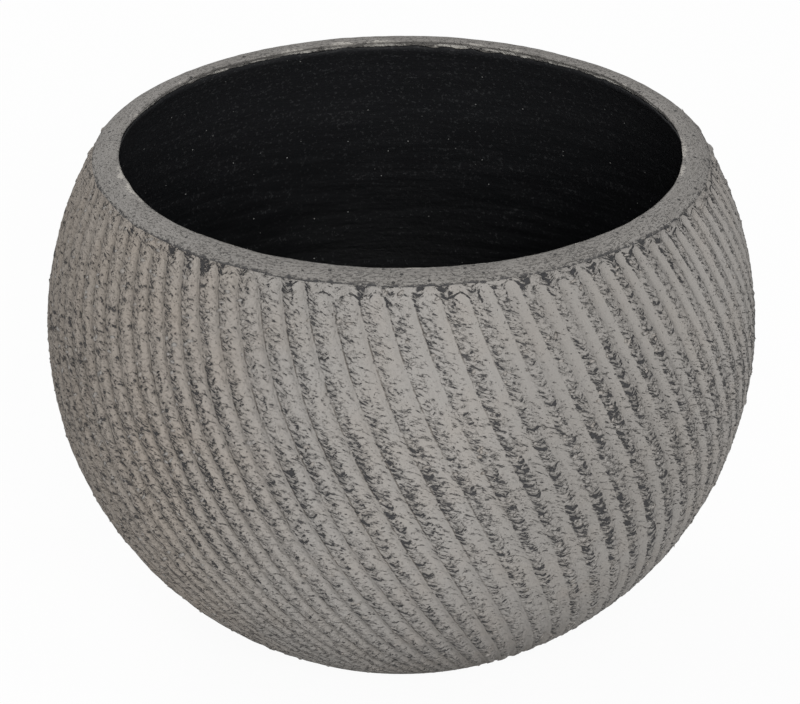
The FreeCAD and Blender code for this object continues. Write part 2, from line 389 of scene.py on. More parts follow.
def wash_zones(at):
    """The torn crests, and the zones in which the wash lies thicker or thinner on them."""
    zone = SimpleNamespace(
        toothed=smooth(at.right, *TOOTHED_SIDE), left_edge=smooth(at.right, *LEFT_EDGE),
        right_edge=smooth(at.right, *RIGHT_EDGE), patches=smooth(clouds(at.place, 20.0, 3.0, 0.6), 0.30, 0.70),
        broken=smooth(clouds(at.place, 85.0, 3.0, 0.6), 0.36, 0.60))
    ragged = at.lumps - 0.5
    widened = smooth(at.right, *WIDE_SIDE) * 0.06 - smooth(at.below, 0.09, 0.02) * 0.10
    zone.crest = smooth(at.lip + ragged * 0.7 + widened, *TORN_LIP)
    bold = smooth(at.below + abs(at.right) * 0.35, *BOLD_BELLY) * smooth(at.right, *RIGHT_EDGE, 1.0, 0.5)
    bold = (bold + smooth(at.right, *BOLD_SIDE) * 0.35) * smooth(at.below, *FAINT_FOOT, 1.0, 0.55)
    zone.bold = bold * (0.45 + zone.broken * 0.7)
    # partly wash, partly painted shade: dark gaps between the flute ends under the rim band, more at the left
    gaps = smooth(at.below, *GAP_HEIGHT) * smooth(at.off_spine, 0.36, 0.14)
    zone.gaps = gaps * smooth(clouds(at.place, 75.0, 3.0), 0.30, 0.52)
    # partly wash, partly painted shade: a dark line round each flute end
    zone.ends = smooth(abs(at.lip - END_LIP + ragged * 0.5), 0.24, 0.04) * smooth(at.below, *END_HEIGHT)
    return zone


print("edge zones", LEFT_EDGE, RIGHT_EDGE)

# %% [markdown]
# ### Ribbed clay: the marks themselves
# The marks on a crest are teeth that slant up from its middle to both sides, like the barbs of a feather. So their
# pattern is laid out across and along the rib, stretched crosswise, and starts afresh on each rib. Finer crumbs trail
# away to one side of the crests and lie scattered over the belly, and round dots take over at the far left.
# Painting them one by one would never end, so all of them use the dark wash group, each with its own coordinates.

# %% Marks of the wash
TEETH_SCALE, FINE_TEETH_SCALE = 150.0, 210.0
TEETH_SLANT, TEETH_STRETCH = 0.5, 2.1
CRUMB_SCALE, CRUMB_SLANT = (190.0, 420.0), 0.5
DOT_SCALE, DOT_LAYER = (175.0, 235.0), 3.0


def feathered_marks(tree, at, zone):
    """The teeth on the crests: large ones, and finer ones on the left side."""
    limbs = zone.left_edge + zone.right_edge * 0.7
    cover = zone.patches * 0.16 + zone.bold * 0.30 + zone.toothed * 0.05
    cover = cover + zone.gaps * (0.58 - smooth(at.right, 0.0, 0.06) * 0.16) - smooth(at.spine, -0.1, 0.3) * 0.10
    cover = zone.crest * cover * (1.0 - limbs * 0.6) + zone.ends * 0.38
    slanted = at.below + at.off_spine * (RIB_PITCH * TEETH_SLANT)
    feather = (at.spine * RIB_PITCH, slanted * TEETH_STRETCH, calc("FLOOR", at.rib + 0.5))
    return [use_group(tree, dark_wash, Cover=cover * share, Vector=join_xyz(tree, *(term * scale for term in feather)))
            for scale, share in ((TEETH_SCALE, 1.0 - zone.toothed), (FINE_TEETH_SCALE, zone.toothed))]


def loose_crumbs(tree, at, zone):
    trail = smooth(calc("FRACT", at.rib + 0.22), 0.95, 0.10) * smooth(at.below, 0.004, 0.012)
    trail = trail * (0.22 + zone.patches * 0.14 - zone.bold * 0.16)
    scattered = smooth(at.below, 0.05, 0.10) * (0.12 + zone.right_edge * 0.06) * (1.2 - zone.broken * 0.7)
    scattered = scattered * (1.0 - smooth(at.below, 0.12, 0.20) * 0.7)
    return use_group(tree, dark_wash, Cover=trail + scattered, Vector=join_xyz(
        tree, (at.across + at.below * CRUMB_SLANT) * CRUMB_SCALE[0],
        (at.below - at.across * CRUMB_SLANT) * CRUMB_SCALE[1], 0.0))


def round_dots(tree, at, zone):
    return use_group(tree, dark_wash, Cover=zone.left_edge * smooth(at.below, 0.01, 0.05) * 0.19, Vector=join_xyz(
        tree, at.across * DOT_SCALE[0], at.below * DOT_SCALE[1], DOT_LAYER))


print("marks", [mark.__name__ for mark in (feathered_marks, loose_crumbs, round_dots)])

# %% [markdown]
# ### Ribbed clay: the whole finish
# The clay itself is pale grey, browner at the left and, as painted shade, darker grey at the right, with a thin
# brownish line of painted shade down one wall of the flutes. The wash goes over it, with pinholes and specks, and one
# bump sinks the marks and leaves the crests lumpy. The large shape of the ribs is real geometry, so the bump only has
# to carry what is under a millimetre.

# %% Ribbed clay
BROWN_SIDE = (-0.05, -0.15)
LUMPY_SIDE = (0.03, -0.08)
# where the right side of the belly is painted darker grey, as painted shade
SHADE_SIDE, SHADE_END, SHADE_FOOT = (0.03, 0.09), (0.18, 0.14), (0.20, 0.13)
# across the rib, where the line of painted shade lies on the flute wall
SHADED_WALL = -0.22


def painted_edge_shade(at):
    """A thin line of painted shade down the shaded wall of the flutes, broken here and there."""
    line = smooth(abs(at.spine - SHADED_WALL + (at.lumps - 0.5) * 0.06), 0.05, 0.01) * smooth(at.below, 0.008, 0.02)
    return line * smooth(clouds(at.place, 60.0, 4.0, 0.75), 0.42, 0.56) * smooth(at.right, 0.10, 0.0)


def make_ribbed_clay():
    material, tree, shader = new_finish("ribbed_clay", MATT, 0.2)
    at = rib_place(tree)
    zone = wash_zones(at)
    teeth, fine_teeth = feathered_marks(tree, at, zone)
    crumbs, dots = loose_crumbs(tree, at, zone), round_dots(tree, at, zone)
    grain = use_group(tree, clay_grain, Vector=at.place, Grit_Scale=900.0, Pinholes=0.06)
    lumpy = smooth(at.right, *LUMPY_SIDE)
    specks = smooth(clouds(at.place, 620.0, 3.0, 0.65) + zone.crest * 0.03 + lumpy * 0.02, 0.655, 0.70)
    sunk = largest(teeth["Depth"], fine_teeth["Depth"], crumbs["Depth"] * 0.8, dots["Depth"])
    brown = smooth(grain["Mottle"], 0.35, 0.75) * 0.25 + smooth(at.right, *BROWN_SIDE) * 0.65
    painted_side_shade = smooth(at.right, *SHADE_SIDE) * smooth(at.right, *SHADE_END) * smooth(at.below, *SHADE_FOOT)
    clay = blend_colours(brown, PALE_CLAY, BROWN_CLAY)
    # painted shade: the clay turns darker grey on the right side of the belly
    clay = blend_colours(painted_side_shade * 0.42, clay, RIM_CLAY)
    clay = blend_colours(sunk * 0.18, clay, DARK_WASH)
    # painted shade down one wall of each flute, strongest at the left
    clay = blend_colours(painted_edge_shade(at) * 0.75, clay, EDGE_SHADE_BROWN)
    dark = largest(teeth["Mask"], fine_teeth["Mask"], crumbs["Mask"] * 0.9,
                   largest(specks, grain["Pinhole"]) * 0.7, dots["Mask"] * 0.9)
    feed(tree, shader.inputs["Base Color"], blend_colours(dark * 0.97, clay, DARK_WASH))
    lumps = at.lumps * (zone.crest * 0.4 + lumpy + 0.7)
    set_bump(shader, tree, grain["Height"] * 0.08 + lumps - sunk * 0.9 - specks * 0.3, 0.0012)
    return material


ribbed_clay = make_ribbed_clay()
print(ribbed_clay.name, len(ribbed_clay.node_tree.nodes), "nodes")

# %% [markdown]
# ### Torn clay
# The loose flakes on the crests are the same clay, wiped pale on top, with some wash left in it. They are too small to
# follow the rib map, so plain Object coordinates do.

# %% Torn clay
def make_torn_clay():
    material, tree, shader = new_finish("torn_clay", MATT, 0.2)
    place = place_on(tree)
    grain = use_group(tree, clay_grain, Vector=place, Grit_Scale=1100.0, Pinholes=0.05)
    stain = smooth(clouds(place, 330.0, 3.0, 0.6), 0.58, 0.66)
    clay = blend_colours(smooth(grain["Mottle"], 0.35, 0.75) * 0.5, PALE_CLAY, BROWN_CLAY)
    feed(tree, shader.inputs["Base Color"], blend_colours(stain * 0.75, clay, DARK_WASH))
    set_bump(shader, tree, grain["Height"], 0.0003)
    return material


torn_clay = make_torn_clay()
print(torn_clay.name, len(torn_clay.node_tree.nodes), "nodes")

# %% [markdown]
# ### Trowelled clay: wear on the inner edge
# The rim's inner edge is raw. On the real pot it is bare and pale, rubbed most in one place at the left, with white
# chips on the inner face just under it and one hairline crack across the band. The chips are painted far paler than the
# clay, as painted light, because that face lies in shade. They are masks by radius, height and distance from a spot,
# since the wear is tied to places on the ring and not to a repeating pattern.

# %% Wear on the rim
CRACK_ANGLE = math.radians(174)
WORN_ANGLE = math.radians(196)
CRACK_WANDER = 0.004
WORN_REACH = (0.040, 0.010)
CHIP_DROPS = (0.0014, 0.0026)  # below the rim


def rim_wear(place, x, y, z, radius):
    """Masks of the bare edge, the chips, which are painted bright as painted light, and the crack."""
    inner = radius - RIM_EDGE_RADIUS
    off_x, off_y = x - RIM_EDGE_RADIUS * math.cos(WORN_ANGLE), y - RIM_EDGE_RADIUS * math.sin(WORN_ANGLE)
    worn = smooth(calc("SQRT", off_x * off_x + off_y * off_y), *WORN_REACH)
    bare = smooth(inner + (clouds(place, 28.0, 6.0, 0.75) - 0.44 - worn * 0.15) * 0.03, 0.0008, -0.0006)
    lit_chips = smooth(clouds(place, 50.0, 6.0, 0.75), 0.47, 0.55) * smooth(inner, 0.008, 0.006)
    lit_chips = lit_chips * smooth(z, *(RIM_HEIGHT - drop for drop in CHIP_DROPS))
    lengthwise = x * math.cos(CRACK_ANGLE) + y * math.sin(CRACK_ANGLE)
    sideways = x * -math.sin(CRACK_ANGLE) + y * math.cos(CRACK_ANGLE)
    crack = smooth(abs(sideways + (clouds(place, 110.0, 3.0) - 0.5) * CRACK_WANDER), 0.0007, 0.0002)
    return bare, lit_chips, crack * calc("GREATER_THAN", lengthwise, 0.0)


print("crack at", round(math.degrees(CRACK_ANGLE)), "degrees, worn place at", round(math.degrees(WORN_ANGLE)))

# %% [markdown]
# ### Trowelled clay
# The rim is the same clay, trowelled round and round: fine streaks follow the circle, with pinholes and pits between,
# and crumbs of wash along the joint with the ribs. Its front gets more pits and crumbs, partly as painted shade, and
# its sides are painted paler, as painted light. The streaks come from noise that is stretched along the ring, by
# reading it at the radius and height in fine steps and at x and y in coarse ones.

# %% Trowelled clay
STREAK_LENGTH, STREAK_FINENESS = 60.0, 700.0
PIT_LENGTH, PIT_FINENESS = 430.0, 760.0
RIM_SLOPE = 0.7
# the front of the rim gets more pits and crumbs, partly as painted shade, and its sides are painted paler, as painted
# light
SHADED_RIM_FRONT, LIT_RIM_SIDES = (-0.05, -0.13), (0.08, 0.15)
CRUMBLY_JOINT = (0.0044, 0.0026)  # above the joint line


def make_trowelled_clay():
    material, tree, shader = new_finish("trowelled_clay", 0.85)
    place = place_on(tree)
    x, y, z = split_xyz(place)
    radius = calc("SQRT", x * x + y * y)
    level = radius - z * RIM_SLOPE
    streaks = clouds(join_xyz(tree, x * STREAK_LENGTH, y * STREAK_LENGTH, level * STREAK_FINENESS), 1.0, 4.0, 0.65)
    grain = use_group(tree, clay_grain, Vector=place, Grit_Scale=500.0, Pinholes=0.14)
    crumbs = smooth(z + clouds(place, 260.0, 3.0, 0.65) * 0.006, *(JOINT_HEIGHT + rise for rise in CRUMBLY_JOINT))
    # partly real pits, partly painted shade: more pits and crumbs on the front of the rim
    shaded_front = smooth(y, *SHADED_RIM_FRONT)
    cover = clouds(place, 40.0, 3.0) * (0.27 + shaded_front * 0.16) + crumbs * (0.42 + shaded_front * 0.25)
    pits = use_group(tree, dark_wash, Cover=cover, Vector=join_xyz(
        tree, x * PIT_LENGTH, y * PIT_LENGTH, level * PIT_FINENESS))
    bare, lit_chips, crack = rim_wear(place, x, y, z, radius)
    # painted light: the rim's sides painted paler
    lit_sides = smooth(abs(x), *LIT_RIM_SIDES) * 0.25
    clay = blend_colours(smooth(streaks, 0.36, 0.66) * 0.6 + lit_sides, RIM_CLAY, PALE_CLAY)
    clay = blend_colours(bare * 0.8, clay, BARE_CLAY)
    # partly real white chips, partly painted light on the shaded inner face
    clay = blend_colours(lit_chips, clay, CHIPS_PAINTED_BRIGHT)
    dark = largest(grain["Pinhole"] * 0.9, pits["Mask"] * (0.55 + crumbs * 0.4), crack * 0.7)
    feed(tree, shader.inputs["Base Color"], blend_colours(dark, clay, DARK_WASH))
    set_bump(shader, tree, streaks * 0.5 - pits["Depth"] * 0.8 + grain["Height"] * 0.8, 0.0008)
    return material


trowelled_clay = make_trowelled_clay()
print(trowelled_clay.name, len(trowelled_clay.node_tree.nodes), "nodes")

# %% [markdown]
# ### Black sealer
# The lining is a brushed black coat with little sheen. The brush went round, so its strokes are noise that is fine in
# height and long round the pot. Its upper part is painted lighter, as painted light and sheen, with grains of painted
# sheen in it; the strokes are painted a little lighter and carry painted glints, as painted sheen, and a few pale
# specks are left. The sheen goes into the colour, because a glossier coat would mirror the white room.

# %% Black sealer
DEEP_BLACK = (0.003, 0.0033, 0.0038)
# painted sheen: the brush strokes painted a little lighter
STROKE_SHEEN_BLACK = (0.0065, 0.0069, 0.0078)
# painted light and sheen: the upper part of the inside painted lighter
LIT_UPPER_BLACK = (0.020, 0.0205, 0.0225)
# painted sheen: grains in the upper part, and glints along the strokes
SHEEN_GREY = (0.045, 0.046, 0.048)
PALE_SPECK = (0.5, 0.5, 0.48)
LIT_HEIGHT = (0.12, 0.28)
STROKE_LENGTH, STROKE_FINENESS = 25.0, 260.0


def make_black_sealer():
    material, tree, shader = new_finish("black_sealer", 0.5, 0.15)
    place = place_on(tree)
    x, y, z = split_xyz(place)
    strokes = clouds(join_xyz(tree, x * STROKE_LENGTH, y * STROKE_LENGTH, z * STROKE_FINENESS), 1.0, 4.0, 0.6)
    grit = clouds(place, 420.0, 3.0, 0.6)
    cells = add_node(tree, "ShaderNodeTexVoronoi", {"Vector": place, "Scale": 260.0, "Randomness": 1.0})
    chance = split_xyz(Field(tree, cells.outputs["Color"]))[0]
    speck = smooth(Field(tree, cells.outputs["Distance"]), 0.12, 0.07) * smooth(chance, 0.14, 0.02)
    # painted light and sheen: lighter towards the top of the inside
    lit_upper = smooth(z, *LIT_HEIGHT)
    # painted sheen: grains in the upper part of the inside
    sheen_grains = smooth(clouds(place, 480.0, 2.0, 0.7), 0.57, 0.70) * lit_upper
    # painted highlights: glints along the brush strokes
    painted_glints = smooth(clouds(place, 520.0, 2.0, 0.6), 0.58, 0.68) * smooth(strokes, 0.50, 0.60)
    # painted sheen: strokes lighter than the deep black
    black = blend_colours(smooth(strokes, 0.35, 0.7), DEEP_BLACK, STROKE_SHEEN_BLACK)
    # painted light and sheen on the upper part of the inside
    black = blend_colours(lit_upper * 0.7, black, LIT_UPPER_BLACK)
    black = blend_colours(sheen_grains, black, SHEEN_GREY)
    black = blend_colours(painted_glints * 0.7, black, SHEEN_GREY)
    feed(tree, shader.inputs["Base Color"], blend_colours(speck * 0.7, black, PALE_SPECK))
    feed(tree, shader.inputs["Roughness"], smooth(strokes, 0.2, 0.8, 0.42, 0.62))
    set_bump(shader, tree, strokes * 0.6 + grit * 0.5, 0.0006)
    return material


black_sealer = make_black_sealer()
print(black_sealer.name, len(black_sealer.node_tree.nodes), "nodes")

# %% [markdown]
# ### Coats inside the wall
# The raw backing and the glass-fibre mat lie inside the wall, and show only where the drain hole is cut through them.
# Raw clay is the shared grain with many pinholes. The mat is chopped fibre soaked in slip, so noise that is fine one
# way and long the other is enough at that size. Single fibres would cost thousands of faces that nobody sees.

# %% Raw clay and fibre mat
FIBRE_PALE, FIBRE_SOAKED = (0.62, 0.60, 0.54), (0.42, 0.40, 0.36)


def make_raw_clay():
    material, tree, shader = new_finish("raw_clay", 0.95)
    grain = use_group(tree, clay_grain, Vector=place_on(tree), Grit_Scale=800.0, Pinholes=0.4)
    clay = blend_colours(smooth(grain["Mottle"], 0.3, 0.7), RAW_CLAY, PALE_CLAY)
    feed(tree, shader.inputs["Base Color"], blend_colours(grain["Pinhole"] * 0.7, clay, BROWN_CLAY))
    set_bump(shader, tree, grain["Height"], 0.0005)
    return material


def make_fibre_mat():
    material, tree, shader = new_finish("fibre_mat", 0.8)
    x, y, z = split_xyz(place_on(tree))
    fibres = clouds(join_xyz(tree, x * 900.0, y * 120.0, z * 500.0), 1.0, 3.0, 0.7, 1.5)
    feed(tree, shader.inputs["Base Color"], blend_colours(smooth(fibres, 0.35, 0.65), FIBRE_PALE, FIBRE_SOAKED))
    set_bump(shader, tree, fibres, 0.0004)
    return material


raw_clay = make_raw_clay()
fibre_mat = make_fibre_mat()
print("inner coats", raw_clay.name, fibre_mat.name)

# %% [markdown]
# ### Plug rubber
# The drain plug is moulded black rubber. Old rubber has a grey bloom, duller where it is thick, so one slow noise
# drives both the colour and the roughness, and a fine one gives the moulded grain. One flat black would do for so
# small a piece, but it would look like hard plastic.

# %% Plug rubber
RUBBER, RUBBER_BLOOM = (0.022, 0.022, 0.023), (0.048, 0.047, 0.046)


def make_plug_rubber():
    material, tree, shader = new_finish("plug_rubber", 0.6, 0.35)
    place = place_on(tree)
    bloom = clouds(place, 90.0, 3.0, 0.6)
    feed(tree, shader.inputs["Base Color"], blend_colours(smooth(bloom, 0.35, 0.75), RUBBER, RUBBER_BLOOM))
    feed(tree, shader.inputs["Roughness"], smooth(bloom, 0.3, 0.8, 0.5, 0.75))
    set_bump(shader, tree, clouds(place, 1600.0, 2.0), 0.0002)
    return material


plug_rubber = make_plug_rubber()
print("finishes", [material.name for material in bpy.data.materials if material.use_nodes])

# %% [markdown]
# ## The ribbed shell
# Eighty slanting flutes follow one rule, so Geometry Nodes make them: a flat grid is bent into the belly, and the
# rule says how far each point sinks. Across, the grid counts ribs; up the pot it walks along the latitudes.
# The flutes are shallow troughs with rounded ends under the rim band, each starting at its own height. What stays
# between them is torn clay, roughened by noise. A bump map could fake this, but the ribs show in the pot's outline.

# %% A tree with named sizes
def geometry_tree(name, sizes):
    """A Geometry Nodes tree; sizes is a list of label, socket type and standard value."""
    tree = bpy.data.node_groups.new(name, "GeometryNodeTree")
    tree.interface.new_socket("Geometry", in_out="INPUT", socket_type="NodeSocketGeometry")
    for label, kind, value in sizes:
        socket = tree.interface.new_socket(label, in_out="INPUT", socket_type=kind)
        if value is not None:
            socket.default_value = value
    tree.interface.new_socket("Geometry", in_out="OUTPUT", socket_type="NodeSocketGeometry")
    return tree, *group_ends(tree)


def shape_step(tree, geometry, kind, inputs=(), **settings):
    """A node that takes a geometry as its first input and gives one as its first output."""
    node = add_node(tree, kind, inputs, **settings)
    feed(tree, node.inputs[0], geometry)
    return Field(tree, node.outputs[0])


def finish_shape(tree, made, shape, material):
    """The last steps of every tree: smooth shading, plain geometry instead of instances, and the finish."""
    shape = shape_step(tree, shape, "GeometryNodeSetShadeSmooth")
    shape = shape_step(tree, shape, "GeometryNodeRealizeInstances")
    shape = shape_step(tree, shape, "GeometryNodeSetMaterial", {"Material": material})
    feed(tree, made.inputs[0], shape)


def grow(name, tree, mesh, sizes):
    """Runs a tree on a mesh with these sizes, and keeps the result as a plain mesh."""
    piece = bpy.data.objects.new(name, mesh)
    bpy.context.collection.objects.link(piece)
    modifier = piece.modifiers.new(name, "NODES")
    modifier.node_group = tree
    for item in tree.interface.items_tree:
        if item.in_out == "INPUT" and item.name in sizes:
            modifier[item.identifier] = sizes[item.name]
    shaped = piece.evaluated_get(bpy.context.evaluated_depsgraph_get())
    made = bpy.data.meshes.new_from_object(shaped)
    piece.modifiers.clear()
    piece.data = made
    made.name = name
    print(name, len(made.vertices), "points", len(made.polygons), "faces")
    return piece


print("tree helpers", [helper.__name__ for helper in (geometry_tree, shape_step, finish_shape, grow)])

# %% The rib rule
MATERIAL, INTEGER = "NodeSocketMaterial", "NodeSocketInt"
RIB_COUNT = 80
COLUMNS_PER_RIB = 8
ROWS = 138
ROW_EASING = 0.42  # rows are spaced this much wider than the mean at the foot, and closer at the rim
FIRST_RIB = 0.173  # in ribs
STRAY_WAVES = 3.0
STRAY_START = math.radians(122.25)
RIB_SIZES = (
    ("Belly Radius", FLOAT, BELLY_RADIUS), ("Belly Height", FLOAT, CENTRE_HEIGHT),
    ("Lowest", FLOAT, -1.0), ("Highest", FLOAT, 0.5), ("Flute Depth", FLOAT, 0.0022),
    ("Flute Share", FLOAT, 0.56), ("Belly Slant", FLOAT, 0.479), ("Rim Slant", FLOAT, 0.249),
    ("Uneven", FLOAT, 0.039), ("Tear", FLOAT, 0.001), ("Seed", INTEGER, 3), ("Clay", MATERIAL, None))


def rib_turn(size, latitude):
    """Angle that a rib has gone round the pot at a latitude; above the belly its slant eases towards the rim."""
    sine, cosine = calc("SINE", latitude), calc("COSINE", latitude)
    easing = (size["Belly Slant"] - size["Rim Slant"]) / calc("SINE", size["Highest"])
    easing = easing * calc("GREATER_THAN", latitude, 0.0)
    turn = size["Belly Slant"] * calc("LOGARITHM", (1.0 + sine) / cosine, math.e)
    slope = size["Belly Slant"] - easing * sine
    return turn + easing * calc("LOGARITHM", cosine, math.e), slope


def rib_longitude(size, rib, turn):
    """Where a rib stands round the pot: evenly spaced, but set out by eye, so that it strays a little."""
    even = (rib + FIRST_RIB) * (2 * math.pi / RIB_COUNT)
    uneven = even - size["Uneven"] * calc("SINE", even * STRAY_WAVES + STRAY_START)
    return uneven - turn


print("ribs", RIB_COUNT, "grid", RIB_COUNT * COLUMNS_PER_RIB, "by", ROWS)

# %% [markdown]
# A flute's cross-section is a parabola. Its distance from the flute's middle is counted sideways, and near the top
# also endways, so that the same parabola rounds off the end. Clay that the finger pushed up there makes a small lump.

# %% Flutes
FLUTE_STARTS = (-0.0010, 0.0060)
LIP_SCALE, LIP_RAGGED = 150.0, 0.16
FOOT_FADE = 0.008


def random_number(tree, low, high, key, seed):
    """A number between two others, the same for every point with that key."""
    node = add_node(tree, "FunctionNodeRandomValue", {2: low, 3: high, 7: key, 8: seed}, data_type="FLOAT")
    return Field(tree, node.outputs[1])


def flute_depth(tree, size, rib, below, above_foot, place):
    """How far a point sinks, as a share of the full depth, how near it is to the flute's lip, and how far it lifts."""
    flute = calc("WRAP", calc("FLOOR", rib), RIB_COUNT, 0.0)
    half = size["Flute Share"] * 0.5 + (clouds(place, LIP_SCALE, 2.0) - 0.5) * LIP_RAGGED
    sideways = (0.5 - calc("PINGPONG", rib, 0.5)) / half
    start = random_number(tree, *FLUTE_STARTS, flute, size["Seed"])
    endways = calc("MAXIMUM", 1.0 - (below - start) / (half * RIB_PITCH), 0.0)
    lip = calc("SQRT", sideways * sideways + endways * endways)
    pushed_up = smooth(sideways, 1.1, 0.2) * smooth(below, 0.0, 0.003) * smooth(below - start, 0.006, 0.001) * start
    return calc("MAXIMUM", 1.0 - lip * lip, 0.0) * smooth(above_foot, 0.0, FOOT_FADE), lip, pushed_up


print("flutes start", FLUTE_STARTS, "m below the rim band")

# %% [markdown]
# Hand work shows in the shape as well: wet clay tears on the crests, and the whole belly wobbles by less than a
# millimetre. Sculpting could give that, but noise of two scales does it by rule. It is read on the smooth ball, so that
# the flutes don't drag it along.

# %% Tears and wobble
TEAR_SCALE, TEAR_LEVEL, TEAR_GAIN = 210.0, 0.62, 2.2
WOBBLE_SCALE, WOBBLE = 30.0, 0.0012


def tears_and_wobble(size, place, crest, below, above_foot):
    """How far torn clay and the wobble of the belly move a point outwards."""
    torn = (clouds(place, TEAR_SCALE, 2.0, 0.6) - TEAR_LEVEL) * size["Tear"] * TEAR_GAIN * crest
    wobble = (clouds(place, WOBBLE_SCALE, 2.0) - 0.5) * WOBBLE
    return torn, wobble * smooth(below, 0.0, 0.01) * smooth(above_foot, 0.0, 0.01)


def belly_directions(tree, latitude, longitude, slope):
    """At a point of the belly: the way out, in three parts, and the way along its rib."""
    east_x, east_y = calc("COSINE", longitude), calc("SINE", longitude)
    cosine, sine = calc("COSINE", latitude), calc("SINE", latitude)
    along = join_xyz(tree, sine * east_y * -1.0 - east_x * slope, sine * east_x - east_y * slope, cosine)
    return (cosine * east_y, cosine * east_x * -1.0, sine), along


print("belly wobbles by less than", WOBBLE / 2, "m")

# %% [markdown]
# Now the tree can be put together. It bends the grid, sinks the flutes and tears the crests. It stores the rib map and
# the lip for the finish, and the crests and the rib's direction for the flakes. Last it welds the grid's two sides.

# %% Bend the grid into the belly
LUMP_SHARE = 0.25
WELD = 0.00002


def make_rib_tree():
    tree, size, made = geometry_tree("slanting_ribs", RIB_SIZES)
    radius, highest, lowest = size["Belly Radius"], size["Highest"], size["Lowest"]
    grid = add_node(tree, "GeometryNodeMeshGrid", {
        "Size X": 1.0, "Size Y": 1.0, "Vertices X": RIB_COUNT * COLUMNS_PER_RIB + 1, "Vertices Y": ROWS + 1})
    across, up, _ = split_xyz(Field(tree, tree.nodes.new("GeometryNodeInputPosition").outputs[0]))
    rib, share = across * RIB_COUNT - 0.5, up + 0.5
    latitude = lowest + (highest - lowest) * share * (1.0 + ROW_EASING - ROW_EASING * share)
    below, above_foot = (highest - latitude) * radius, (latitude - lowest) * radius
    turn, slope = rib_turn(size, latitude)
    out, along = belly_directions(tree, latitude, rib_longitude(size, rib, turn), slope)
    place = join_xyz(tree, *(part * radius for part in out))
    sunk, lip, pushed_up = flute_depth(tree, size, rib, below, above_foot, place)
    crest = smooth(sunk, 0.12, 0.0) * smooth(below, 0.0, 0.004) * smooth(above_foot, 0.0, 0.006)
    torn, wobble = tears_and_wobble(size, place, crest, below, above_foot)
    reach = radius - sunk * size["Flute Depth"] + torn + wobble + pushed_up * LUMP_SHARE
    final = join_xyz(tree, out[0] * reach, out[1] * reach, out[2] * reach + size["Belly Height"])
    shape = Field(tree, grid.outputs["Mesh"])
    for name, kind, domain, value in (
            (RIB_MAP, "FLOAT2", "CORNER", join_xyz(tree, rib, below, 0.0)),
            ("lip", "FLOAT", "POINT", calc("MINIMUM", lip, 2.0)), ("crest", "FLOAT", "POINT", crest),
            ("along", "FLOAT_VECTOR", "POINT", along)):
        shape = shape_step(tree, shape, "GeometryNodeStoreNamedAttribute", {"Name": name, "Value": value},
                           data_type=kind, domain=domain)
    shape = shape_step(tree, shape, "GeometryNodeSetPosition", {"Position": final})
    shape = shape_step(tree, shape, "GeometryNodeMergeByDistance", {"Distance": WELD})
    finish_shape(tree, made, shape, size["Clay"])
    return tree


ribbed_shell = grow("ribbed_shell_clay", make_rib_tree(), bpy.data.meshes.new("grid"), {
    "Lowest": -math.asin(CENTRE_HEIGHT / BELLY_RADIUS),
    "Highest": math.asin((JOINT_HEIGHT - CENTRE_HEIGHT) / BELLY_RADIUS), "Clay": ribbed_clay})

# %% [markdown]
# The grid gives only the outside. The real face coat is a few millimetres thick and has a floor, a hollow under the
# foot and a drain hole, so the open top edge is drawn on, ring by ring, down the inside and out under the foot.
# Those faces get one plain spot of the rib map, in the middle of a flute, because no wash was brushed on there.

# %% Inside and underside of the shell
INSIDE_RINGS = 7
PLAIN_SPOT = (0.5, 0.1)


def inside_profile():
    """Radius and height of each ring, from the top edge down the inside and back to the foot."""
    rings = []
    for step in range(INSIDE_RINGS):
        height = JOINT_HEIGHT + (FACE_DEPTH - JOINT_HEIGHT) * step / (INSIDE_RINGS - 1)
        rings.append((coat_radius(FACE_DEPTH, height), height))
    rings += [(DRAIN_RADIUS, FACE_DEPTH), (DRAIN_RADIUS, FOOT_RECESS), (FOOT_RADIUS - FOOT_WIDTH, FOOT_RECESS),
              (FOOT_RADIUS - FOOT_WIDTH + FOOT_RECESS / 2, 0.0)]
    return rings


def draw_ring(shell, ring, radius, height):
    """Draws a ring of edges on to a radius and height; gives the new ring, and the faces on the way."""
    made = bmesh.ops.extrude_edge_only(shell, edges=ring)["geom"]
    corners = {item for item in made if isinstance(item, bmesh.types.BMVert)}
    for corner in corners:
        scale = radius / math.hypot(corner.co.x, corner.co.y)
        corner.co = (corner.co.x * scale, corner.co.y * scale, height)
    new_ring = [item for item in made if isinstance(item, bmesh.types.BMEdge) and set(item.verts) <= corners]
    return new_ring, [item for item in made if isinstance(item, bmesh.types.BMFace)]


def close_shell(piece):
    shell = bmesh.new()
    shell.from_mesh(piece.data)
    rib_map = shell.loops.layers.uv[RIB_MAP]
    open_edges = [edge for edge in shell.edges if edge.is_boundary]
    ring = [edge for edge in open_edges if edge.verts[0].co.z > CENTRE_HEIGHT]
    foot = [edge for edge in open_edges if edge.verts[0].co.z < CENTRE_HEIGHT]
    drawn = []
    for radius, height in inside_profile():
        ring, faces = draw_ring(shell, ring, radius, height)
        drawn += faces
    drawn += bmesh.ops.bridge_loops(shell, edges=ring + foot)["faces"]
    for face in drawn:
        face.smooth = False
        for loop in face.loops:
            loop[rib_map].uv = PLAIN_SPOT
    bmesh.ops.recalc_face_normals(shell, faces=shell.faces)
    shell.to_mesh(piece.data)
    open_left = sum(edge.is_boundary for edge in shell.edges)
    shell.free()
    print("shell closed, open edges left:", open_left)


close_shell(ribbed_shell)

# %% [markdown]
# ## Torn clay on the crests
# Between the flutes the clay was dragged and torn while it was wet, which left small flakes standing on the crests.
# There are thousands, so Geometry Nodes scatter one low-sided flake over the shell, thick on the crests and nowhere
# else, lying mostly across the rib. Each has only a dozen faces, so that they stay light.

